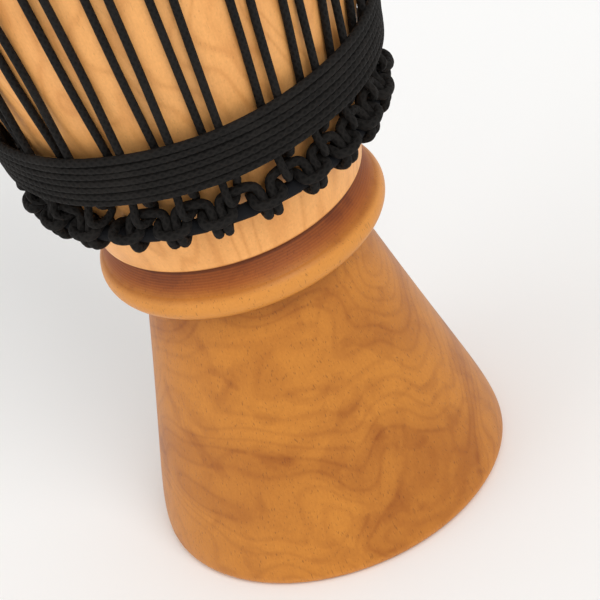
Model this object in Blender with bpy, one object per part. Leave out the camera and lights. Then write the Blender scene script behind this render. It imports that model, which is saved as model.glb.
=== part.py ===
"""Bougarabou: a goblet drum carved from one log, headed with cow skin and tuned with laced rope.

Metres, +Z up. The origin is the centre of the foot's rim, on the face that the drum stands on.
"""

import math

import bpy
import numpy as np

# Sizes of the drum as a whole
drum_height = 0.620
fit_gap = 0.0003

# Carved shell: head and bowl
skin_thickness = 0.0018
head_radius = 0.134
head_wall = 0.013
bearing_round = 0.005
bowl_head_pull = 0.251
bowl_neck_pull = 0.084
bowl_neck_slope = 0.2185
neck_radius = 0.081
neck_height = 0.2194
lip_round = 0.0045

# Carved shell: moulding round the waist, and the foot
groove_radius = 0.0768
groove_drop = 0.0065
moulding_radius = 0.087
moulding_height = 0.1923
moulding_round = 0.0094
waist_radius = 0.0650
waist_height = 0.1770
foot_radius = 0.1083
foot_rim_round = 0.005
foot_waist_pull = 0.116
foot_waist_slope = 0.249
foot_rim_pull = 0.017

# Carved shell: the hollow
foot_mouth_radius = 0.0920
throat_radius = 0.0500
throat_low = 0.1500
throat_high = 0.2050
bell_mouth_pull = 0.045
bell_throat_pull = 0.040
bowl_floor_height = 0.0230
bowl_floor_spread = 0.0280
bowl_wall_height = 0.5200
bowl_wall_pull = 0.1500

# Rings
flesh_ring_wire = 0.006
ring_wire = 0.0064
cloth_thickness = 0.0010
cloth_slit_angle = 50.0
flesh_ring_drop = 0.052
bottom_ring_height = 0.2590

# Ropes
pair_count = 24
first_pair_azimuth = -117.9
tension_rope = 0.0045
loop_rope = 0.0040
bottom_pair_half_angle = 2.25
top_pair_half_angle = 3.00
hitch_leg_half = 0.0026
hitch_width_half = 0.0083
bottom_loop_rise = 0.0165
bottom_loop_clearance = 0.0004
bight_reach = 1.14
bight_fall = 1.3
wrap_corners = 5
winding_turns = 7
winding_turn_gap = 0.00050
winding_clearance = 0.0005
winding_rise = 0.0290

# Pairs on the front as they were laced by hand, in degrees from even spacing
hand_lacing = (0.9, -0.1, -1.3, 1.7, 0.6, -0.8, -1.1)

# Fineness of the facets
turned_steps = 40
winding_steps = 24
rope_sides = 5

# Sizes that follow from the ones above
shell_top = drum_height - skin_thickness - fit_gap
skin_outside = head_radius + fit_gap + skin_thickness
flesh_ring_radius = skin_outside + fit_gap + flesh_ring_wire / 2
flesh_ring_height = shell_top - flesh_ring_drop
cloth_outside = ring_wire / 2 + fit_gap + cloth_thickness
wrap_radius = cloth_outside + fit_gap + loop_rope / 2
wrap_corner = wrap_radius / math.cos(math.pi / wrap_corners)
crown_ring_radius = skin_outside + fit_gap + loop_rope / 2 + wrap_radius
flesh_reach = wrap_corner + loop_rope / 2 + fit_gap + flesh_ring_wire / 2
crown_ring_height = flesh_ring_height + math.sqrt(
    flesh_reach**2 - (crown_ring_radius - flesh_ring_radius) ** 2
)
pass_distance = tension_rope / 2 + loop_rope / 2 + fit_gap
pair_pitch = 360.0 / pair_count


def clear_scene():
    for old in list(bpy.data.objects):
        bpy.data.objects.remove(old)


def finish(name, color, roughness, metallic=0.0):
    material = bpy.data.materials.new(name)
    material.use_nodes = True
    shader = material.node_tree.nodes["Principled BSDF"]
    shader.inputs["Base Color"].default_value = (*color, 1.0)
    shader.inputs["Roughness"].default_value = roughness
    shader.inputs["Metallic"].default_value = metallic
    return material


def bezier(start, start_pull, end_pull, end, count):
    """Points along one cubic stretch, both ends included."""
    t = np.linspace(0.0, 1.0, count)[:, None]
    a, b, c, d = (np.array(p) for p in (start, start_pull, end_pull, end))
    curve = (1 - t) ** 3 * a + 3 * (1 - t) ** 2 * t * b + 3 * (1 - t) * t**2 * c + t**3 * d
    return [tuple(p) for p in curve]


def arc(center, radius, start_angle, end_angle, count):
    """Points round a centre in the (radius, height) plane, angles in degrees from outward."""
    angles = np.radians(np.linspace(start_angle, end_angle, count))
    return [(center[0] + radius * math.cos(a), center[1] + radius * math.sin(a)) for a in angles]


def outer_bowl(count):
    """The bowl's outside, from the bearing edge down to the lip over the groove."""
    bowl_top = shell_top - bearing_round
    return bezier(
        (head_radius, bowl_top),
        (head_radius, bowl_top - bowl_head_pull),
        (neck_radius + bowl_neck_slope * bowl_neck_pull, neck_height + bowl_neck_pull),
        (neck_radius, neck_height),
        count,
    )


bowl_points = outer_bowl(8)
bowl_heights = [p[1] for p in reversed(bowl_points)]
bowl_radii = [p[0] for p in reversed(bowl_points)]


def bowl_radius(height):
    return float(np.interp(height, bowl_heights, bowl_radii))


def bowl_slope(height):
    step = 0.004
    return (bowl_radius(height + step) - bowl_radius(height - step)) / (2 * step)


def shell_profile():
    """The shell's section: down the outside, across the foot's face and up the hollow."""
    edge = (head_radius - bearing_round, shell_top - bearing_round)
    lip = (neck_radius - lip_round, neck_height)
    groove = (groove_radius, neck_height - groove_drop)
    nose = (moulding_radius - moulding_round, moulding_height)
    rim = (foot_radius - foot_rim_round, foot_rim_round)
    inner_head = head_radius - head_wall
    foot = bezier(
        (waist_radius, waist_height),
        (waist_radius + foot_waist_slope * foot_waist_pull, waist_height - foot_waist_pull),
        (foot_radius, foot_rim_round + foot_rim_pull),
        (foot_radius, foot_rim_round),
        6,
    )
    bell = bezier(
        (foot_mouth_radius, 0.0),
        (foot_mouth_radius - 0.2 * bell_mouth_pull, bell_mouth_pull),
        (throat_radius, throat_low - bell_throat_pull),
        (throat_radius, throat_low),
        4,
    )
    hollow = bezier(
        (throat_radius, throat_high),
        (throat_radius + bowl_floor_spread, throat_high + bowl_floor_height),
        (inner_head, bowl_wall_height - bowl_wall_pull),
        (inner_head, bowl_wall_height),
        5,
    )
    return (
        arc(edge, bearing_round, 90, 30, 3)
        + bowl_points
        + arc(lip, lip_round, -35, -70, 2)
        + [groove]
        + arc(nose, moulding_round, 52, -72, 5)
        + foot
        + arc(rim, foot_rim_round, -45, -90, 2)
        + bell
        + hollow
        + [(inner_head, shell_top - bearing_round), (inner_head + bearing_round / 2, shell_top)]
    )


def skin_profile():
    """The skin's section: over the head, down the shell, and hooked round the flesh ring."""
    corner = (head_radius - bearing_round, shell_top - bearing_round)
    hook = (flesh_ring_radius, flesh_ring_height)
    inner_round = bearing_round + fit_gap
    wire_round = (flesh_ring_wire / 2 + fit_gap) / math.cos(math.radians(22.5))
    outside = [(0.0, drum_height)] + arc(corner, inner_round + skin_thickness, 90, 0, 4)
    inside_hook = arc(hook, wire_round, 157.5, 337.5, 5)
    outside_hook = arc(hook, wire_round + skin_thickness, -22.5, -157.5, 4)
    inside = arc(corner, inner_round, 0, 90, 4) + [(0.0, drum_height - skin_thickness)]
    return outside + inside_hook + outside_hook + inside


def turned(name, profile, closed, material):
    """An object turned about Z from a section of (radius, height) points."""
    mesh = bpy.data.meshes.new(name)
    points = [(radius, 0.0, height) for radius, height in profile]
    edges = [(i, i + 1) for i in range(len(points) - 1)]
    if closed:
        edges.append((len(points) - 1, 0))
    mesh.from_pydata(points, edges, [])
    piece = bpy.data.objects.new(name, mesh)
    bpy.context.scene.collection.objects.link(piece)
    screw = piece.modifiers.new("Turn", "SCREW")
    screw.steps = turned_steps
    screw.render_steps = turned_steps
    screw.use_merge_vertices = True
    screw.merge_threshold = 0.00001
    screw.use_smooth_shade = True
    mesh.materials.append(material)
    return piece


def wire_ring(name, radius, height, wire, material):
    section = arc((radius, height), wire / 2, 30, -270, 6)
    return turned(name, section, True, material)


def cloth_wrap(name, radius, height, material):
    """The cloth strip wound round a ring, open along a slit on the side towards the shell."""
    center = (radius, height)
    half = 180.0 - cloth_slit_angle / 2
    outside = arc(center, cloth_outside, half, -half, 6)
    inside = arc(center, ring_wire / 2 + 2 * fit_gap, -half, half, 6)
    return turned(name, outside + inside, True, material)


def pair_azimuth(index):
    turn = index % pair_count
    drift = hand_lacing[turn] if turn < len(hand_lacing) else 0.0
    return first_pair_azimuth + pair_pitch * index + drift


def gap_azimuth(index):
    """The middle of the gap after a pair."""
    return (pair_azimuth(index) + pair_azimuth(index + 1)) / 2


def round_drum(azimuth, radius, height):
    angle = math.radians(azimuth)
    return (radius * math.cos(angle), radius * math.sin(angle), height)


class RingFrame:
    """Places points beside a ring: along it, out from the wall, and up along the wall."""

    def __init__(self, radius, height, lean, upward):
        self.radius = radius
        self.height = height
        self.lean = lean
        self.upward = upward

    def section(self, out, rise):
        """(radius, height) of a point that lies out from the ring and rise above it."""
        rise = rise * self.upward
        radius = self.radius + out * math.cos(self.lean) + rise * math.sin(self.lean)
        height = self.height - out * math.sin(self.lean) + rise * math.cos(self.lean)
        return radius, height

    def place(self, azimuth, along, out, rise):
        radius, height = self.section(out, rise)
        return round_drum(azimuth + math.degrees(along / self.radius), radius, height)


def bottom_frame():
    lean = math.atan(bowl_slope(bottom_ring_height))
    stand_off = (fit_gap + loop_rope / 2 + wrap_radius) / math.cos(lean)
    return RingFrame(bowl_radius(bottom_ring_height) + stand_off, bottom_ring_height, lean, 1)


def crown_frame():
    return RingFrame(crown_ring_radius, crown_ring_height, 0.0, -1)


bottom = bottom_frame()
crown = crown_frame()
bight_depth = bight_fall * pass_distance
bottom_back_leg = tension_rope / 2 - loop_rope / 2 - wrap_radius
bottom_loop_out = bottom_back_leg + bight_reach * pass_distance + bottom_loop_clearance
hook_depth = (flesh_ring_wire / 2 + fit_gap) / math.cos(math.radians(22.5)) + skin_thickness
crown_bight_rise = crown.height - flesh_ring_height + hook_depth + fit_gap + tension_rope / 2
crown_loop_rise = crown_bight_rise + bight_depth


def ring_corners():
    """Corners of one turn round a wrapped ring, as (out, rise), from the front under to the top."""
    angles = [-2 * math.pi * corner / wrap_corners for corner in range(wrap_corners)]
    return [(wrap_corner * math.cos(a), wrap_corner * math.sin(a)) for a in angles]


def hitch():
    """A cow hitch as (along, out, rise): two turns round the ring, held by a bar over the legs."""
    front, under, back_low, back_high, over = ring_corners()
    strand = loop_rope + 2 * fit_gap
    bar = (0.0, front[0] + 0.20 * strand, 1.5 * strand)
    half = [
        (hitch_leg_half, *front),
        (hitch_leg_half, *under),
        (0.5 * hitch_width_half, *back_low),
        (0.85 * hitch_width_half, *back_high),
        (hitch_width_half, *over),
        (0.8 * hitch_width_half, front[0], bar[2] + 0.4 * strand),
    ]
    return [(-along, out, rise) for along, out, rise in half] + [bar] + half[::-1]


def bottom_loops():
    """One rope hitched round the bottom ring, rising into a loop under each pair of legs."""
    points = []
    shoulder = (0.0, bottom_loop_out, 0.8 * bottom_loop_rise)
    for index in range(pair_count):
        start, middle, end = gap_azimuth(index - 1), pair_azimuth(index), gap_azimuth(index)
        points += [bottom.place(start, *step) for step in hitch()]
        points.append(bottom.place(0.7 * start + 0.3 * middle, *shoulder))
        points.append(bottom.place(middle, 0.0, bottom_loop_out, bottom_loop_rise))
        points.append(bottom.place(0.7 * end + 0.3 * middle, *shoulder))
    return points[3:-2]


def crown_loops():
    """One rope wound once round the crown ring at each pair, hanging in a loop between pairs."""
    points = []
    front, under, back_low, back_high, over = ring_corners()
    turn = [front, over, back_high, back_low, under]
    shift = np.linspace(-hitch_leg_half, hitch_leg_half, len(turn))
    beyond_leg = top_pair_half_angle - 1.0
    for index in range(pair_count):
        here = pair_azimuth(index)
        for along, (out, rise) in zip(shift, turn):
            points.append(crown.place(here, along, out, -rise))
        points.append(crown.place(here + beyond_leg, 0.0, 0.0, crown_loop_rise))
        points.append(crown.place(pair_azimuth(index + 1) - beyond_leg, 0.0, 0.0, crown_loop_rise))
    return points[2:-2]


def taut_line():
    """(radius, height) corners of a leg drawn tight over the bowl, from the bottom loop up."""
    off = tension_rope / 2 + fit_gap
    low = bottom.section(bottom_loop_out, bottom_loop_rise + 2 * tension_rope)
    high = crown.section(0.0, crown_loop_rise + 2 * tension_rope)
    heights = [h for h in bowl_heights if low[1] < h < high[1]]
    course = [low] + [
        (bowl_radius(h) + off * math.hypot(1.0, bowl_slope(h)), h) for h in heights
    ] + [high]
    hull = []
    for point in course:
        while len(hull) > 1 and turns_in(hull[-2], hull[-1], point):
            hull.pop()
        hull.append(point)
    return hull


def turns_in(first, middle, last):
    """True where the middle point lies inside the straight line from first to last."""
    across = (middle[0] - first[0]) * (last[1] - first[1])
    along = (last[0] - first[0]) * (middle[1] - first[1])
    return across <= along


leg_line = taut_line()
leg_heights = [p[1] for p in leg_line]
leg_radii = [p[0] for p in leg_line]


def leg_radius(height):
    return float(np.interp(height, leg_heights, leg_radii))


def leg_offset(height):
    """Half of the angle between a pair's two legs, in degrees."""
    span = (leg_heights[0], leg_heights[-1])
    return float(np.interp(height, span, (bottom_pair_half_angle, top_pair_half_angle)))


def leg(index, side):
    """One leg from bottom to top, left of its pair for -1 and right for 1."""
    return [
        round_drum(pair_azimuth(index) + side * leg_offset(height), radius, height)
        for radius, height in leg_line
    ]


def bight(frame, start, end, loop_out, loop_rise, face):
    """A turn through a loop, from its front to its back for a face of 1 and back to front for -1."""
    over = 0.2 * tension_rope
    beside = -0.57 * bight_depth
    steps = [
        (0.0, bight_reach, over),
        (0.12, 0.92 * bight_reach, beside),
        (0.5, 0.0, -bight_depth),
        (0.88, -0.92 * bight_reach, beside),
        (1.0, -bight_reach, over),
    ]
    return [
        frame.place(
            (1 - share) * start + share * end,
            0.0,
            loop_out + face * out * pass_distance,
            loop_rise + rise,
        )
        for share, out, rise in steps
    ]


def bottom_turn(index):
    """The bight round a bottom loop, from the left leg of a pair to the right."""
    middle = pair_azimuth(index)
    start, end = middle - bottom_pair_half_angle, middle + bottom_pair_half_angle
    return bight(bottom, start, end, bottom_loop_out, bottom_loop_rise, 1)


def crown_turn(index):
    """The bight over a crown loop, from the right leg of a pair to the left leg of the next."""
    start = pair_azimuth(index) + top_pair_half_angle
    end = pair_azimuth(index + 1) - top_pair_half_angle
    return bight(crown, start, end, 0.0, crown_loop_rise, -1)


def lacing():
    """The tension rope: down a left leg, round the bottom loop, up the right leg and over."""
    points = []
    for index in range(pair_count):
        points += leg(index, -1)[::-1] + bottom_turn(index) + leg(index, 1) + crown_turn(index)
    return points[:-3]


def winding():
    """The surplus rope wound round the legs, climbing one rope and a gap each turn."""
    lay = tension_rope + winding_turn_gap
    nearest = math.radians(180 / winding_steps - bottom_pair_half_angle)
    stretch = math.cos(nearest) / math.cos(math.radians(180 / winding_steps))
    points = []
    height = bottom_ring_height + winding_rise
    for step in range(winding_turns * winding_steps + 1):
        slope = (leg_radius(height + lay) - leg_radius(height)) / lay
        stand_off = (tension_rope + winding_clearance) * math.hypot(1.0, slope)
        azimuth = first_pair_azimuth - 180.0 + step * 360.0 / winding_steps
        points.append(round_drum(azimuth, (leg_radius(height) + stand_off) * stretch, height))
        height += lay / math.hypot(1.0, slope) / winding_steps
    return points


def least_gap(points, diameter, skip):
    """The smallest clear distance between stretches of one rope that aren't neighbours."""
    spots = np.array(points)
    spots = np.concatenate([spots[:-1] * (1 - f) + spots[1:] * f for f in (0.0, 0.25, 0.5, 0.75)])
    order = np.concatenate([np.arange(len(points) - 1) + f for f in (0.0, 0.25, 0.5, 0.75)])
    least = math.inf
    for spot, place in zip(spots, order):
        others = spots[np.abs(order - place) >= skip]
        least = min(least, float(np.linalg.norm(others - spot, axis=1).min()))
    return least - diameter


def rope_section(name, radius):
    """The outline that a rope is swept with, kept out of the model."""
    curve = bpy.data.curves.new(name, "CURVE")
    curve.dimensions = "2D"
    spline = curve.splines.new("POLY")
    spline.points.add(rope_sides - 1)
    for index, point in enumerate(spline.points):
        angle = -2 * math.pi * index / rope_sides
        point.co = (radius * math.cos(angle), radius * math.sin(angle), 0.0, 1.0)
    spline.use_cyclic_u = True
    outline = bpy.data.objects.new(name, curve)
    outline.hide_render = True
    outline.display_type = "WIRE"
    bpy.context.scene.collection.objects.link(outline)
    return outline


def rope(name, points, diameter, material, outline=None):
    """A rope along its points, with its ends filled."""
    curve = bpy.data.curves.new(name, "CURVE")
    curve.dimensions = "3D"
    spline = curve.splines.new("POLY")
    spline.points.add(len(points) - 1)
    for spot, point in zip(points, spline.points):
        point.co = (*spot, 1.0)
    if outline:
        curve.bevel_mode = "OBJECT"
        curve.bevel_object = outline
    else:
        curve.bevel_depth = diameter / 2
        curve.bevel_resolution = 1
    curve.use_fill_caps = True
    piece = bpy.data.objects.new(name, curve)
    bpy.context.scene.collection.objects.link(piece)
    curve.materials.append(material)
    return piece


def build():
    clear_scene()
    wood = finish("wood", (0.62, 0.33, 0.11), 0.42)
    hide = finish("hide", (0.70, 0.58, 0.42), 0.6)
    steel = finish("steel", (0.42, 0.42, 0.43), 0.4, 1.0)
    cloth = finish("cloth", (0.012, 0.013, 0.016), 0.85)
    braid = finish("braid", (0.014, 0.014, 0.015), 0.8)

    turned("shell", shell_profile(), True, wood)
    turned("skin_head", skin_profile(), False, hide)
    wire_ring("flesh_ring", flesh_ring_radius, flesh_ring_height, flesh_ring_wire, steel)
    wire_ring("crown_ring", crown.radius, crown.height, ring_wire, steel)
    wire_ring("bottom_ring", bottom.radius, bottom.height, ring_wire, steel)
    cloth_wrap("crown_ring_cloth", crown.radius, crown.height, cloth)
    cloth_wrap("bottom_ring_cloth", bottom.radius, bottom.height, cloth)

    loop_outline = rope_section("loop_rope_outline", loop_rope / 2)
    tension_outline = rope_section("tension_rope_outline", tension_rope / 2)
    rope("crown_loop_rope", crown_loops(), loop_rope, braid, loop_outline)
    rope("bottom_loop_rope", bottom_loops(), loop_rope, braid, loop_outline)
    rope("tension_rope", lacing(), tension_rope, braid, tension_outline)
    coil = winding()
    rope("surplus_rope_winding", coil, tension_rope, braid)
    gap = least_gap(coil, tension_rope, winding_steps / 2)
    print(f"Winding: least gap to itself {1000 * gap:.2f} mm")


build()
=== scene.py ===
import math
import bpy
import numpy as np
from mathutils import Matrix, Vector


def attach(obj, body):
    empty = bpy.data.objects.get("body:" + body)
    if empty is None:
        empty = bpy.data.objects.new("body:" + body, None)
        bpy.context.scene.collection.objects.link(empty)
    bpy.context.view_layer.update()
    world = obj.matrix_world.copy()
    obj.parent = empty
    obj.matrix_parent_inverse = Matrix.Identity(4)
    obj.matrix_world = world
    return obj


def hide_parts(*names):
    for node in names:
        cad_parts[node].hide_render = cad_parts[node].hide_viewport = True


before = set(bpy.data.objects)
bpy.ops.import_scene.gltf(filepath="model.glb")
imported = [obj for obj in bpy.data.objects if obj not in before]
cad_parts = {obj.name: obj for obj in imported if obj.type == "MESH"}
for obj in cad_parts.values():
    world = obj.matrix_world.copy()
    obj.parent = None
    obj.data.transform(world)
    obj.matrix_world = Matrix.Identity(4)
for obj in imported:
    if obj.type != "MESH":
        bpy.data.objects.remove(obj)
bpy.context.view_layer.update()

print("frame loaded, nodes:", len(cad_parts))

# the drum as a whole, metres and degrees
drum = {"height": 0.620, "gap": 0.0003, "pairs": 24, "firstPair": -117.9, "turnedSteps": 220,
        "handLacing": (0.9, -0.1, -1.3, 1.7, 0.6, -0.8, -1.1)}
pairPitch = 360.0 / drum["pairs"]


class Sock:
    # one shader socket with the usual operators, so maths reads as maths
    def __init__(self, graph, out):
        self.graph = graph
        self.out = out

    def math(self, kind, other=0.0):
        return self.graph.node("ShaderNodeMath", {"operation": kind}, {0: self, 1: other})

    def __add__(self, other):
        return self.math("ADD", other)

    def __radd__(self, other):
        return self.math("ADD", other)

    def __sub__(self, other):
        return self.math("SUBTRACT", other)

    def __rsub__(self, other):
        return self.math("MULTIPLY", -1.0) + other

    def __mul__(self, other):
        return self.math("MULTIPLY", other)

    def __rmul__(self, other):
        return self.math("MULTIPLY", other)

    def sin(self):
        return self.math("SINE")

    def top(self, other):
        return self.math("MAXIMUM", other)

    def power(self, other):
        return self.math("POWER", other)


class Graph:
    # a material's node tree; node() adds any node: its type, settings first, then socket values
    def __init__(self, name, roughness, metallic=0.0, gloss=0.5):
        self.material = bpy.data.materials.new(name)
        self.material.use_nodes = True
        self.tree = self.material.node_tree
        self.shader = self.tree.nodes["Principled BSDF"]
        self.shader.inputs["Roughness"].default_value = roughness
        self.shader.inputs["Metallic"].default_value = metallic
        self.shader.inputs["Specular IOR Level"].default_value = gloss

    def put(self, node, key, value):
        if isinstance(value, Sock):
            self.tree.links.new(value.out, node.inputs[key])
        else:
            node.inputs[key].default_value = value

    def node(self, kind, settings, ins, out=0):
        made = self.tree.nodes.new(kind)
        for key, value in settings.items():
            setattr(made, key, value)
        for key, value in ins.items():
            self.put(made, key, value)
        return Sock(self, made.outputs[out])

    def place(self, scale=(1.0, 1.0, 1.0)):
        here = self.node("ShaderNodeTexCoord", {}, {}, "Object")
        return self.node("ShaderNodeVectorMath", {"operation": "MULTIPLY"}, {0: here, 1: scale})

    def axis(self, vector, name):
        return self.node("ShaderNodeSeparateXYZ", {}, {"Vector": vector}, name)

    def alongAndRound(self):
        # U runs along a cord or strip, V once round it
        uv = self.node("ShaderNodeUVMap", {}, {})
        return self.axis(uv, "X"), self.axis(uv, "Y")

    def noise(self, where, scale, detail=3.0, distortion=0.0):
        ins = {"Vector": where, "Scale": scale, "Detail": detail, "Distortion": distortion}
        return self.node("ShaderNodeTexNoise", {}, ins)

    def rise(self, value, low, high):
        # 0 below low, 1 above high, smooth between
        ins = {"Value": value, "From Min": low, "From Max": high}
        return self.node("ShaderNodeMapRange", {"interpolation_type": "SMOOTHSTEP"}, ins)

    def between(self, value, start, end):
        # 1 after the first rise and before the second
        return self.rise(value, *start) * (1.0 - self.rise(value, *end))

    def blend(self, share, first, second, kind="MIX"):
        ins = {0: share, 6: first, 7: second}
        return self.node("ShaderNodeMix", {"data_type": "RGBA", "blend_type": kind}, ins, 2)

    def bump(self, height, strength, distance):
        ins = {"Height": height, "Strength": strength, "Distance": distance}
        self.put(self.shader, "Normal", self.node("ShaderNodeBump", {}, ins))

    def colour(self, value):
        self.put(self.shader, "Base Color", value)


def rgb(red, green, blue):
    return (red, green, blue, 1.0)


# painted light in these colours: slope and its darker colour are painted shade under the bowl; edge is a
# painted highlight on the moulding's rounded edge, also laid on the foot's pale rim; the darkest colour
# paints pores, and painted shade in the crease and groove
wood = {"bowl": rgb(0.94, 0.455, 0.148), "bowlDark": rgb(0.70, 0.285, 0.075),
        "foot": rgb(0.585, 0.222, 0.031), "footDark": rgb(0.32, 0.092, 0.011),
        "slope": rgb(0.40, 0.108, 0.016), "slopeShade": rgb(0.18, 0.038, 0.007),
        "edge": rgb(0.74, 0.31, 0.065), "poreAndCreaseShade": rgb(0.09, 0.024, 0.008),
        "streakDark": rgb(0.84, 0.80, 0.76), "streakPale": rgb(1.06, 1.08, 1.10)}
# heights over which each stretch of the shell changes to the next
stretch = {"rim": (0.0015, 0.0075), "crease": ((0.1795, 0.1815), (0.1822, 0.1840)),
           "edge": ((0.1845, 0.1880), (0.1960, 0.2010)), "slope": (0.1960, 0.2060),
           "slopeShade": (0.2000, 0.2120), "groove": ((0.2118, 0.2130), (0.2140, 0.2155)),
           "bowl": (0.2150, 0.2175)}


def woodFinish():
    g = Graph("carvedWood", 0.4, 0.0, 0.24)
    here = g.place()
    z = g.axis(here, "Z")
    x = g.axis(here, "X")
    isBowl = g.rise(z, *stretch["bowl"])
    # bowl: fine growth lines that run up the log in long curves
    log = g.noise(g.place((1.0, 1.0, 0.34)), 12.0, 2.0, 0.5)
    bowlLines = (log * 95.0 + x * 120.0).sin() * 0.5 + 0.5
    bowlCloud = g.rise(g.noise(g.place((1.0, 1.0, 0.3)), 20.0, 3.0, 1.0), 0.45, 0.70)
    bowlTone = g.blend(bowlLines.power(4.0) * 0.42 + bowlCloud * 0.35, wood["bowl"], wood["bowlDark"])
    # foot: broad swirling bands that cross it, with fainter lines inside them
    sweep = g.noise(g.place((0.7, 0.8, 1.0)), 8.0, 2.0, 0.5)
    level = z * 30.0 + x * 3.0 + sweep * 8.0
    wide = (level * 2.6).sin() * 0.5 + 0.5
    thin = (level * 17.0).sin() * 0.5 + 0.5
    mottle = g.noise(here, 55.0, 4.0, 0.4)
    patch = g.rise(g.noise(here, 17.0, 3.0, 1.4), 0.50, 0.68)
    blot = g.rise(g.noise(here, 38.0, 4.0, 0.9), 0.50, 0.64)
    footShare = (wide.power(3.0) * 0.34 + thin.power(4.0) * 0.20 + patch * 0.25 + blot * 0.24
                 + mottle * 0.3 - 0.08)
    footTone = g.blend(footShare, wood["foot"], wood["footDark"])
    tone = g.blend(isBowl, footTone, bowlTone)
    # moulding: pale edge, a painted highlight broken by short fibres; painted shade on the slope,
    # darkening up it to the groove under the bowl
    fibre = g.noise(g.place((1.0, 1.0, 0.045)), 900.0, 3.0)
    pores = g.rise(g.noise(g.place((1.0, 1.0, 0.12)), 1300.0, 1.0), 0.64, 0.74)
    turning = (z * 4200.0 + mottle * 3.0).sin() * 0.5 + 0.5
    # painted highlight on the moulding's rounded edge, textured by fibres and patches
    edgeHighlight = g.between(z, *stretch["edge"])
    isSlope = g.rise(z, *stretch["slope"]) * (1.0 - isBowl)
    tone = g.blend(edgeHighlight, tone, g.blend(fibre * 0.7 + patch * 0.2, wood["edge"], wood["foot"]))
    # painted shade: the slope's colour, varied by turning rings and patches, darkens towards the groove
    # under the bowl
    slopeMarksAndShade = turning * 0.22 + g.rise(z, *stretch["slopeShade"]) * 0.55 + patch * 0.35
    tone = g.blend(isSlope, tone, g.blend(slopeMarksAndShade, wood["slope"], wood["slopeShade"]))
    # painted shade: dark lines in the crease under the moulding and in the groove under the bowl; and the
    # pale rim of the foot
    crease = g.between(z, *stretch["crease"])
    groove = g.between(z, *stretch["groove"])
    tone = g.blend(crease * 0.7 + groove * 0.6, tone, wood["poreAndCreaseShade"])
    rim = 1.0 - g.rise(z, *stretch["rim"])
    tone = g.blend(rim * (0.35 + 0.5 * fibre), tone, wood["edge"])
    # fine streaks and pores over the whole shell
    stipple = g.noise(here, 620.0, 2.0)
    streak = g.blend(fibre * 0.8 + stipple * 0.7 - 0.25, wood["streakDark"], wood["streakPale"])
    grain = g.blend(1.0, tone, streak, "MULTIPLY")
    g.colour(g.blend(pores * (0.42 - 0.3 * isBowl), grain, wood["poreAndCreaseShade"]))
    g.put(g.shader, "Roughness", 0.34 + 0.16 * fibre + 0.12 * isSlope)
    g.bump(fibre * 0.5 - pores * 0.9 + thin * 0.08 + turning * isSlope * 0.5, 0.3, 0.0005)
    return g.material


# strands round the cord, and the length of cord from one strand to the next
cord = {"strands": 4, "lay": 0.0052, "gapShade": rgb(0.0022, 0.0019, 0.0017),
        "raised": rgb(0.0125, 0.0108, 0.0096), "worn": rgb(0.020, 0.017, 0.015)}


def cordFinish():
    g = Graph("braidedCord", 0.82, 0.0, 0.16)
    along, turn = g.alongAndRound()
    around = 2 * math.pi * cord["strands"]
    lay = 2 * math.pi / cord["lay"]
    right = (along * lay + turn * around).sin() * 0.5 + 0.5
    left = (along * lay - turn * around).sin() * 0.5 + 0.5
    braid = right.top(left)
    fuzz = g.noise(g.place(), 900.0, 2.0)
    worn = g.rise(g.noise(g.place(), 45.0, 3.0), 0.45, 0.7)
    # the strand pattern with fuzz, and painted shade darkening the gaps between strands
    shade = g.blend(braid * 0.7 + fuzz * 0.3, cord["gapShade"], cord["raised"])
    g.colour(g.blend(worn * 0.35, shade, cord["worn"]))
    g.bump(braid + fuzz * 0.4, 0.9, 0.0005)
    return g.material


# threads of the weave: radians per metre along the strip, and per turn round it
strip = {"warp": 7000.0, "weft": 260.0, "gapShade": rgb(0.003, 0.0032, 0.004),
         "raised": rgb(0.012, 0.0125, 0.015)}


def clothFinish():
    g = Graph("clothStrip", 0.85, 0.0, 0.18)
    along, turn = g.alongAndRound()
    weave = (along * strip["warp"]).sin() * (turn * strip["weft"]).sin() * 0.5 + 0.5
    worn = g.noise(g.place(), 70.0, 3.0)
    # the weave and random wear, with painted shade darkening the gaps between threads
    g.colour(g.blend(weave * 0.4 + worn * 0.5, strip["gapShade"], strip["raised"]))
    g.bump(weave + worn * 0.6, 0.5, 0.0003)
    return g.material


skin = {"pale": rgb(0.74, 0.60, 0.41), "tan": rgb(0.52, 0.36, 0.20),
        "vein": rgb(0.42, 0.27, 0.15), "follicle": rgb(0.25, 0.15, 0.08)}


def hideFinish():
    g = Graph("cowHide", 0.55)
    cloud = g.noise(g.place(), 9.0, 4.0, 0.8)
    follicle = g.rise(g.noise(g.place(), 700.0, 1.0), 0.62, 0.74)
    vein = (g.noise(g.place(), 18.0, 2.0, 2.5) * 40.0).sin() * 0.5 + 0.5
    tone = g.blend(g.rise(cloud, 0.35, 0.7), skin["pale"], skin["tan"])
    tone = g.blend(vein.power(6.0) * 0.25, tone, skin["vein"])
    g.colour(g.blend(follicle * 0.5, tone, skin["follicle"]))
    g.bump(cloud * 0.4 - follicle * 0.5 + vein * 0.1, 0.3, 0.0005)
    return g.material


steel = {"dark": rgb(0.33, 0.33, 0.34), "bright": rgb(0.55, 0.55, 0.56)}


def steelFinish():
    g = Graph("ringSteel", 0.35, 1.0)
    scratch = g.noise(g.place((1.0, 1.0, 6.0)), 400.0, 2.0)
    g.colour(g.blend(scratch, steel["dark"], steel["bright"]))
    g.put(g.shader, "Roughness", 0.28 + 0.2 * scratch)
    return g.material


def bezier(start, pullA, pullB, end, count):
    t = np.linspace(0.0, 1.0, count)[:, None]
    a, b, c, d = (np.array(p) for p in (start, pullA, pullB, end))
    curve = (1 - t) ** 3 * a + 3 * (1 - t) ** 2 * t * b + 3 * (1 - t) * t**2 * c + t**3 * d
    return [tuple(p) for p in curve]


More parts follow.
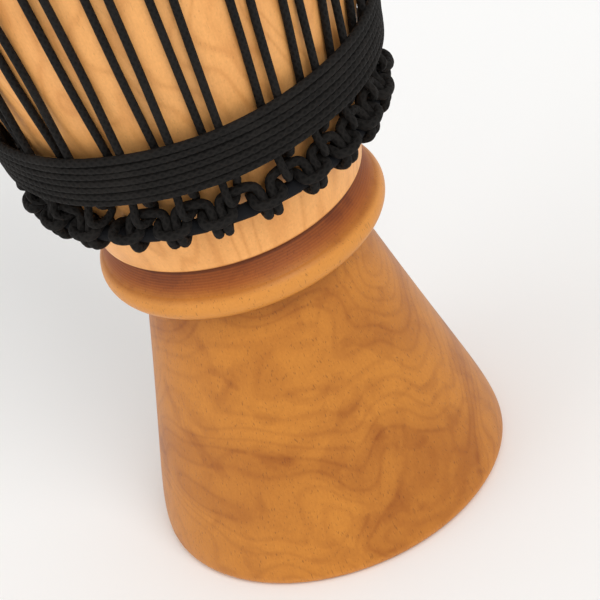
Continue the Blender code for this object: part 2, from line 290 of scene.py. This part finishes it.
def arc(center, radius, first, last, count):
    angles = np.radians(np.linspace(first, last, count))
    return [(center[0] + radius * math.cos(a), center[1] + radius * math.sin(a)) for a in angles]


# skin and flesh ring; the skin lies flat inside flatRadius and hooks round the ring
hide = {"thickness": 0.0018, "fleshDrop": 0.052, "wire": 0.006, "flatRadius": 0.120}
bowl = {"headRadius": 0.134, "wall": 0.013, "edgeRound": 0.005, "headPull": 0.251, "neckPull": 0.084,
        "neckSlope": 0.2185, "neckRadius": 0.081, "neckHeight": 0.2194, "lipRound": 0.0045,
        "innerEdge": 0.0012}

shellTop = drum["height"] - hide["thickness"] - drum["gap"]
skinOutside = bowl["headRadius"] + drum["gap"] + hide["thickness"]
fleshRadius = skinOutside + drum["gap"] + hide["wire"] / 2
fleshHeight = shellTop - hide["fleshDrop"]
hookRadius = (hide["wire"] / 2 + drum["gap"]) / math.cos(math.radians(22.5))


def bowlLine(count):
    top = shellTop - bowl["edgeRound"]
    return bezier((bowl["headRadius"], top), (bowl["headRadius"], top - bowl["headPull"]),
                  (bowl["neckRadius"] + bowl["neckSlope"] * bowl["neckPull"],
                   bowl["neckHeight"] + bowl["neckPull"]),
                  (bowl["neckRadius"], bowl["neckHeight"]), count)


fineBowl = bowlLine(80)
bowlHeights = [p[1] for p in reversed(fineBowl)]
bowlRadii = [p[0] for p in reversed(fineBowl)]


def bowlRadius(height):
    return float(np.interp(height, bowlHeights, bowlRadii))


def bowlSlope(height):
    reach = 0.004
    return (bowlRadius(height + reach) - bowlRadius(height - reach)) / (2 * reach)


moulding = {"grooveRadius": 0.0768, "grooveDrop": 0.0065, "radius": 0.087, "height": 0.1923,
            "round": 0.0094}
foot = {"waistRadius": 0.0650, "waistHeight": 0.1770, "radius": 0.1083, "rimRound": 0.005,
        "waistPull": 0.116, "waistSlope": 0.249, "rimPull": 0.017, "mouthRadius": 0.0920}
hollow = {"throat": 0.0500, "throatLow": 0.1500, "throatHigh": 0.2050, "mouthPull": 0.045,
          "mouthFlare": 0.2, "throatPull": 0.040, "floorRise": 0.0230, "floorSpread": 0.0280,
          "wallTop": 0.5200, "wallPull": 0.1500}


def shellLine():
    # down the outside, across the foot's face and up the hollow
    edge = (bowl["headRadius"] - bowl["edgeRound"], shellTop - bowl["edgeRound"])
    lip = (bowl["neckRadius"] - bowl["lipRound"], bowl["neckHeight"])
    nose = (moulding["radius"] - moulding["round"], moulding["height"])
    rim = (foot["radius"] - foot["rimRound"], foot["rimRound"])
    inner = bowl["headRadius"] - bowl["wall"]
    waist = (foot["waistRadius"], foot["waistHeight"])
    groove = (moulding["grooveRadius"], bowl["neckHeight"] - moulding["grooveDrop"])
    skirt = bezier(waist, (waist[0] + foot["waistSlope"] * foot["waistPull"],
                           waist[1] - foot["waistPull"]),
                   (foot["radius"], foot["rimRound"] + foot["rimPull"]),
                   (foot["radius"], foot["rimRound"]), 70)
    bell = bezier((foot["mouthRadius"], 0.0),
                  (foot["mouthRadius"] - hollow["mouthFlare"] * hollow["mouthPull"], hollow["mouthPull"]),
                  (hollow["throat"], hollow["throatLow"] - hollow["throatPull"]),
                  (hollow["throat"], hollow["throatLow"]), 30)
    chamber = bezier((hollow["throat"], hollow["throatHigh"]),
                     (hollow["throat"] + hollow["floorSpread"],
                      hollow["throatHigh"] + hollow["floorRise"]),
                     (inner, hollow["wallTop"] - hollow["wallPull"]),
                     (inner, hollow["wallTop"]), 40)
    line = arc(edge, bowl["edgeRound"], 90, 8, 10) + fineBowl
    line += arc(lip, bowl["lipRound"], -12, -80, 8) + [groove]
    line += arc(nose, moulding["round"], 58, -78, 26) + skirt
    line += arc(rim, foot["rimRound"], -12, -90, 8) + bell + chamber
    line.append((inner, shellTop - bowl["edgeRound"]))
    line.append((inner + bowl["innerEdge"], shellTop - bowl["innerEdge"]))
    return line


def hideLine():
    # over the head, down the shell, round the flesh ring and back inside
    corner = (bowl["headRadius"] - bowl["edgeRound"], shellTop - bowl["edgeRound"])
    hook = (fleshRadius, fleshHeight)
    inner = bowl["edgeRound"] + drum["gap"]
    top = [(radius, drum["height"]) for radius in np.linspace(0.0, hide["flatRadius"], 13)]
    under = [(p[0], drum["height"] - hide["thickness"]) for p in top[::-1]]
    line = top + arc(corner, inner + hide["thickness"], 90, 0, 10)
    line += arc(hook, hookRadius, 157.5, 405, 28)
    line += arc(hook, hookRadius + hide["thickness"], 45, -157.5, 26)
    line += arc(corner, inner, 0, 90, 10) + under
    return line


def meshPiece(name, points, faces, material, uv=None):
    mesh = bpy.data.meshes.new(name)
    mesh.from_pydata([tuple(p) for p in points], [], faces)
    if uv is not None:
        layer = mesh.uv_layers.new(name="UVMap")
        layer.data.foreach_set("uv", np.array(uv, dtype=np.float32).ravel())
    mesh.materials.append(material)
    mesh.shade_smooth()
    piece = bpy.data.objects.new(name, mesh)
    bpy.context.scene.collection.objects.link(piece)
    return piece


def turned(name, line, closed, material, sharp=32.0):
    # a section turned about Z; points on the axis become one
    steps = drum["turnedSteps"]
    points, rows = [], []
    for radius, height in line:
        if radius < 1e-6:
            rows.append([len(points)] * steps)
            points.append((0.0, 0.0, height))
            continue
        rows.append(list(range(len(points), len(points) + steps)))
        for k in range(steps):
            a = 2 * math.pi * k / steps
            points.append((radius * math.cos(a), radius * math.sin(a), height))
    if closed:
        rows.append(rows[0])
    faces = []
    for upper, lower in zip(rows, rows[1:]):
        for k in range(steps):
            n = (k + 1) % steps
            ring = [upper[k], lower[k], lower[n], upper[n]]
            faces.append([v for i, v in enumerate(ring) if v not in ring[:i]])
    piece = meshPiece(name, points, faces, material)
    piece.data.set_sharp_from_angle(angle=math.radians(sharp))
    return piece


def smoothed(points, step, most=14):
    # a rounded line through given points, denser on short stretches
    p = np.array(points)
    p = np.vstack([2 * p[0] - p[1], p, 2 * p[-1] - p[-2]])
    rows = []
    for i in range(1, len(p) - 2):
        a, b, c, d = p[i - 1], p[i], p[i + 1], p[i + 2]
        knots = np.cumsum([0.0] + [max(np.linalg.norm(q), 1e-6) ** 0.5 for q in (b - a, c - b, d - c)])
        count = max(2, min(most, math.ceil(np.linalg.norm(c - b) / step)))
        for t in np.linspace(knots[1], knots[2], count, endpoint=False):
            ab = a + (b - a) * (t - knots[0]) / (knots[1] - knots[0])
            bc = b + (c - b) * (t - knots[1]) / (knots[2] - knots[1])
            cd = c + (d - c) * (t - knots[2]) / (knots[3] - knots[2])
            first = ab + (bc - ab) * (t - knots[0]) / (knots[2] - knots[0])
            second = bc + (cd - bc) * (t - knots[1]) / (knots[3] - knots[1])
            rows.append(first + (second - first) * (t - knots[1]) / (knots[2] - knots[1]))
    rows.append(p[-2])
    return np.array(rows)


def cordMesh(name, line, radius, sides, material):
    # a tube swept along a line, its frame carried without twist; U is metres of cord, V a turn
    tangent = np.gradient(line, axis=0)
    tangent /= np.linalg.norm(tangent, axis=1)[:, None]
    run = np.concatenate([[0.0], np.cumsum(np.linalg.norm(np.diff(line, axis=0), axis=1))])
    side = np.cross(tangent[0], (0.0, 0.0, 1.0))
    if np.linalg.norm(side) < 0.1:
        side = np.cross(tangent[0], (1.0, 0.0, 0.0))
    angles = 2 * np.pi * np.arange(sides) / sides
    points = []
    for spot, forward in zip(line, tangent):
        side = side - forward * side.dot(forward)
        side = side / np.linalg.norm(side)
        across = np.cross(forward, side)
        ring = spot + radius * (np.cos(angles)[:, None] * side + np.sin(angles)[:, None] * across)
        points.extend(ring)
    faces, uv = [], []
    for i in range(len(line) - 1):
        for k in range(sides):
            n = (k + 1) % sides
            faces.append((i * sides + k, i * sides + n, (i + 1) * sides + n, (i + 1) * sides + k))
            low, high = k / sides, (k + 1) / sides
            uv += [(run[i], low), (run[i], high), (run[i + 1], high), (run[i + 1], low)]
    faces.append(tuple(range(sides))[::-1])
    faces.append(tuple(range(len(points) - sides, len(points))))
    uv += [(0.0, 0.0)] * (2 * sides)
    return meshPiece(name, points, faces, material, uv), run[-1]


def pairAzimuth(index):
    turn = index % drum["pairs"]
    drift = drum["handLacing"][turn] if turn < len(drum["handLacing"]) else 0.0
    return drum["firstPair"] + pairPitch * index + drift


def gapAzimuth(index):
    return (pairAzimuth(index) + pairAzimuth(index + 1)) / 2


def roundDrum(azimuth, radius, height):
    a = math.radians(azimuth)
    return (radius * math.cos(a), radius * math.sin(a), height)


class RingSide:
    # places points beside a ring: along it, out from the wall and up along the wall
    def __init__(self, radius, height, lean, upward):
        self.radius, self.height, self.lean, self.upward = radius, height, lean, upward

    def section(self, out, rise):
        rise = rise * self.upward
        return (self.radius + out * math.cos(self.lean) + rise * math.sin(self.lean),
                self.height - out * math.sin(self.lean) + rise * math.cos(self.lean))

    def place(self, azimuth, along, out, rise):
        radius, height = self.section(out, rise)
        return roundDrum(azimuth + math.degrees(along / self.radius), radius, height)


# rings and the cloth on them: strips round a ring, steps along each strip and round the wire
rings = {"wire": 0.0064, "cloth": 0.0010, "bottomHeight": 0.2590, "strips": 46, "stripLift": 0.0004,
         "stripSink": 0.0002, "stepsPerStrip": 10, "stepsRound": 20}
# ropes: the sizes that set their routes, then the thicker ones that are drawn
ropes = {"tension": 0.0045, "loop": 0.0040, "bottomHalf": 2.25, "topHalf": 3.00, "legHalf": 0.0028,
         "hitchHalf": 0.0083, "loopRise": 0.0165, "loopClear": 0.0004, "loopInset": 1.0,
         "snugGap": 0.0001, "showLoop": 0.0056, "showTension": 0.0047, "showWinding": 0.0050,
         "sides": 12, "step": 0.0011}
# how far a bight reaches and falls through its loop, in passing distances
bights = {"reach": 1.14, "fall": 1.3, "side": 1.05, "shoulder": 0.74, "swell": 1.08, "lift": 0.2}

clothOutside = rings["wire"] / 2 + drum["gap"] + rings["cloth"]
wrapRadius = clothOutside + drum["gap"] + ropes["loop"] / 2
wrapCorner = wrapRadius / math.cos(math.radians(36))
crownRadius = skinOutside + drum["gap"] + ropes["loop"] / 2 + wrapRadius
fleshReach = wrapCorner + ropes["loop"] / 2 + drum["gap"] + hide["wire"] / 2
crownHeight = fleshHeight + math.sqrt(fleshReach**2 - (crownRadius - fleshRadius) ** 2)
passDistance = ropes["tension"] / 2 + ropes["loop"] / 2 + drum["gap"]

lean = math.atan(bowlSlope(rings["bottomHeight"]))
standOff = (drum["gap"] + ropes["loop"] / 2 + wrapRadius) / math.cos(lean)
bottom = RingSide(bowlRadius(rings["bottomHeight"]) + standOff, rings["bottomHeight"], lean, 1)
crown = RingSide(crownRadius, crownHeight, 0.0, -1)
bightDepth = bights["fall"] * passDistance
loopOut = (ropes["tension"] / 2 - ropes["loop"] / 2 - wrapRadius + bights["reach"] * passDistance
           + ropes["loopClear"])
hookDepth = hookRadius + hide["thickness"]
crownLoopRise = crown.height - fleshHeight + hookDepth + drum["gap"] + ropes["tension"] / 2 + bightDepth


def ringTurn(angles):
    # points of a strand that hugs a wrapped ring, as (out, rise)
    snug = clothOutside + ropes["showLoop"] / 2 + ropes["snugGap"]
    return [(snug * math.cos(math.radians(a)), snug * math.sin(math.radians(a))) for a in angles]


def hitch():
    # a cow hitch: two turns round the ring, held by a bar over the legs;
    # its numbers are shares of its half width and of one strand
    front, dip, under, backLow, backHigh, over, lip = ringTurn((25, -30, -85, -140, 165, 95, 50))
    strand = ropes["loop"] + 2 * drum["gap"]
    leg, wide = ropes["legHalf"], ropes["hitchHalf"]
    bar = (0.0, front[0] + 0.55 * strand, 1.45 * strand)
    half = [(leg, *front), (leg, *dip), (leg, *under), (0.5 * wide, *backLow), (0.85 * wide, *backHigh),
            (0.97 * wide, *over), (0.86 * wide, lip[0] + 0.5 * strand, lip[1] + 0.35 * strand)]
    return [(-along, out, rise) for along, out, rise in half] + [bar] + half[::-1]


def bottomLoops():
    points = []
    shoulder = (0.0, loopOut, 0.8 * ropes["loopRise"])
    for index in range(drum["pairs"]):
        start, middle, end = gapAzimuth(index - 1), pairAzimuth(index), gapAzimuth(index)
        points += [bottom.place(start, *step) for step in hitch()]
        points.append(bottom.place(0.7 * start + 0.3 * middle, *shoulder))
        points.append(bottom.place(middle, 0.0, loopOut, ropes["loopRise"]))
        points.append(bottom.place(0.7 * end + 0.3 * middle, *shoulder))
    return points[3:-2]


def crownLoops():
    points = []
    turn = ringTurn((10, 75, 130, -175, -110, -60))
    shift = np.linspace(-ropes["legHalf"], ropes["legHalf"], len(turn))
    beyond = ropes["topHalf"] - ropes["loopInset"]
    for index in range(drum["pairs"]):
        here = pairAzimuth(index)
        for along, (out, rise) in zip(shift, turn):
            points.append(crown.place(here, along, out, -rise))
        points.append(crown.place(here + beyond, 0.0, 0.0, crownLoopRise))
        points.append(crown.place(pairAzimuth(index + 1) - beyond, 0.0, 0.0, crownLoopRise))
    return points[2:-2]


def turnsIn(first, middle, last):
    across = (middle[0] - first[0]) * (last[1] - first[1])
    return across <= (last[0] - first[0]) * (middle[1] - first[1])


def tautLine():
    # corners of a leg drawn tight over the bowl, from the bottom loop up
    off = ropes["tension"] / 2 + drum["gap"]
    low = bottom.section(loopOut, ropes["loopRise"] + 2 * ropes["tension"])
    high = crown.section(0.0, crownLoopRise + 2 * ropes["tension"])
    heights = [h for h in bowlHeights if low[1] < h < high[1]]
    course = [low] + [(bowlRadius(h) + off * math.hypot(1.0, bowlSlope(h)), h) for h in heights] + [high]
    hull = []
    for point in course:
        while len(hull) > 1 and turnsIn(hull[-2], hull[-1], point):
            hull.pop()
        hull.append(point)
    return hull[:1] + hull[1:-1:4] + hull[-1:]


legLine = tautLine()
legHeights = [p[1] for p in legLine]
legRadii = [p[0] for p in legLine]


def legRadius(height):
    return float(np.interp(height, legHeights, legRadii))


def leg(index, side):
    span, halves = (legHeights[0], legHeights[-1]), (ropes["bottomHalf"], ropes["topHalf"])
    return [roundDrum(pairAzimuth(index) + side * float(np.interp(h, span, halves)), r, h)
            for r, h in legLine]


def bight(ring, start, end, out, rise, face):
    # each step: share of the way across, push out from the loop, rise
    reach, side = bights["reach"], bights["side"]
    high, low = bights["lift"] * ropes["tension"], -bights["shoulder"] * passDistance
    steps = ((0.0, reach, high), (0.12, side, low), (0.5, 0.0, -bightDepth), (0.88, -side, low),
             (1.0, -reach, high))
    return [ring.place((1 - share) * start + share * end, 0.0,
                       out + face * push * bights["swell"] * passDistance, rise + lift)
            for share, push, lift in steps]


def lacing():
    points = []
    for index in range(drum["pairs"]):
        here, after = pairAzimuth(index), pairAzimuth(index + 1)
        points += leg(index, -1)[::-1]
        points += bight(bottom, here - ropes["bottomHalf"], here + ropes["bottomHalf"], loopOut,
                        ropes["loopRise"], 1)
        points += leg(index, 1)
        points += bight(crown, here + ropes["topHalf"], after - ropes["topHalf"], 0.0, crownLoopRise, -1)
    return points[:-3]


# surplus rope; wander is the small rise and fall of its turns
coil = {"turns": 7, "turnGap": 0.0005, "clear": 0.0005, "rise": 0.0290, "steps": 24,
        "standOut": 0.0004, "wander": 0.0003, "wanderPace": 1.7}


def winding():
    # the surplus rope, climbing one rope and a gap each turn
    lay = ropes["tension"] + coil["turnGap"]
    last = coil["turns"] * coil["steps"]
    points, height = [], rings["bottomHeight"] + coil["rise"]
    for step in range(last + 1):
        slope = (legRadius(height + lay) - legRadius(height)) / lay
        off = (ropes["tension"] + coil["clear"]) * math.hypot(1.0, slope)
        azimuth = drum["firstPair"] - 180.0 + step * 360.0 / coil["steps"]
        isFree = 1 if 2 < step < last - 2 else 0
        wander = coil["wander"] * math.sin(step * coil["wanderPace"]) * isFree
        points.append(roundDrum(azimuth, legRadius(height) + off + coil["standOut"], height + wander))
        height += lay / math.hypot(1.0, slope) / coil["steps"]
    return points


def clothSleeve(name, side, material):
    # a strip wound round the ring, each turn lapping over the last
    around, along = rings["stepsRound"], rings["strips"] * rings["stepsPerStrip"]
    length = 2 * math.pi * side.radius / along
    points, faces, uv = [], [], []
    for i in range(along):
        a = 2 * math.pi * i / along
        for k in range(around):
            b = 2 * math.pi * k / around
            lap = (i / rings["stepsPerStrip"] + k / around) % 1.0
            radius = clothOutside - rings["stripSink"] + rings["stripLift"] * lap
            r = side.radius + radius * math.cos(b)
            points.append((r * math.cos(a), r * math.sin(a), side.height + radius * math.sin(b)))
    for i in range(along):
        for k in range(around):
            n, m = (i + 1) % along, (k + 1) % around
            faces.append((i * around + k, n * around + k, n * around + m, i * around + m))
            uv += [(i * length, k / around), ((i + 1) * length, k / around),
                   ((i + 1) * length, (k + 1) / around), (i * length, (k + 1) / around)]
    return meshPiece(name, points, faces, material, uv)


def settle(piece, slotName, *nodes):
    # every made piece rides on the one body and stands for its solid
    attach(piece, "root")
    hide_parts(*nodes)


def buildDrum():
    settle(turned("carvedShell", shellLine(), True, woodFinish()), "wood", "shell")
    settle(turned("headSkin", hideLine(), False, hideFinish(), 60.0), "hide", "skin_head")
    print("shell and skin made")
    cloth = clothFinish()
    settle(clothSleeve("crownCloth", crown, cloth), "cloth", "crown_ring_cloth")
    settle(clothSleeve("bottomCloth", bottom, cloth), "cloth", "bottom_ring_cloth")
    ringSteel = steelFinish()
    for node in ("flesh_ring", "crown_ring", "bottom_ring"):
        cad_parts[node].material_slots[0].material = ringSteel
    print("rings wrapped")
    braid = cordFinish()
    runs = (("crownLoops", crownLoops(), "showLoop", "crown_loop_rope"),
            ("bottomLoops", bottomLoops(), "showLoop", "bottom_loop_rope"),
            ("tensionRope", lacing(), "showTension", "tension_rope"),
            ("surplusWinding", winding(), "showWinding", "surplus_rope_winding"))
    for name, route, size, node in runs:
        line = smoothed(route, ropes["step"])
        piece, length = cordMesh(name, line, ropes[size] / 2, ropes["sides"], braid)
        settle(piece, "braid", node)
        print(name, "length", round(length, 2), "m")


# camera: looks down 34.3 degrees and is rolled by 21 degrees
view = {"pitch": 34.339, "roll": 20.954, "stand": (0.0, -1.42704, 1.07458), "lens": 172.05,
        "sensor": 36.0, "shift": (0.0195, 0.0702)}


def lookFrom():
    pitch, roll = math.radians(view["pitch"]), math.radians(view["roll"])
    right, up = Vector((1, 0, 0)), Vector((0, math.sin(pitch), math.cos(pitch)))
    back = Vector((0, -math.cos(pitch), math.sin(pitch)))
    sideways = math.cos(roll) * right - math.sin(roll) * up
    upright = math.sin(roll) * right + math.cos(roll) * up
    data = bpy.data.cameras.new("photoCamera")
    data.lens, data.sensor_width = view["lens"], view["sensor"]
    data.shift_x, data.shift_y = view["shift"]
    camera = bpy.data.objects.new("photoCamera", data)
    turn = Matrix((sideways, upright, back)).transposed().to_4x4()
    camera.matrix_world = Matrix.Translation(view["stand"]) @ turn
    bpy.context.scene.collection.objects.link(camera)
    bpy.context.scene.camera = camera


# lamps: where the light comes from, its strength, and how wide the sun is in degrees
light = {"room": 0.75, "floor": rgb(0.93, 0.93, 0.92), "floorReach": 6.0,
         "keyLamp": ((0.30, -0.70, 0.75), 1.15, 30.0), "sideLamp": ((-0.9, -0.25, 0.35), 0.55, 50.0)}


def sun(name, direction, strength, spread):
    data = bpy.data.lights.new(name, "SUN")
    data.energy, data.angle = strength, math.radians(spread)
    lamp = bpy.data.objects.new(name, data)
    lamp.rotation_euler = Vector(direction).to_track_quat("Z", "Y").to_euler()
    bpy.context.scene.collection.objects.link(lamp)


def studio():
    world = bpy.data.worlds.new("softRoom")
    world.use_nodes = True
    world.node_tree.nodes["Background"].inputs["Color"].default_value = rgb(1.0, 1.0, 1.0)
    world.node_tree.nodes["Background"].inputs["Strength"].default_value = light["room"]
    bpy.context.scene.world = world
    for name in ("keyLamp", "sideLamp"):
        sun(name, *light[name])
    g = Graph("paleFloor", 0.9)
    g.colour(light["floor"])
    reach = light["floorReach"]
    corners = [(-reach, -reach, 0.0), (reach, -reach, 0.0), (reach, reach, 0.0), (-reach, reach, 0.0)]
    meshPiece("floor", corners, [(0, 1, 2, 3)], g.material)
    bpy.context.scene.view_settings.view_transform = "Standard"


lookFrom()
buildDrum()
studio()
print("scene ready")
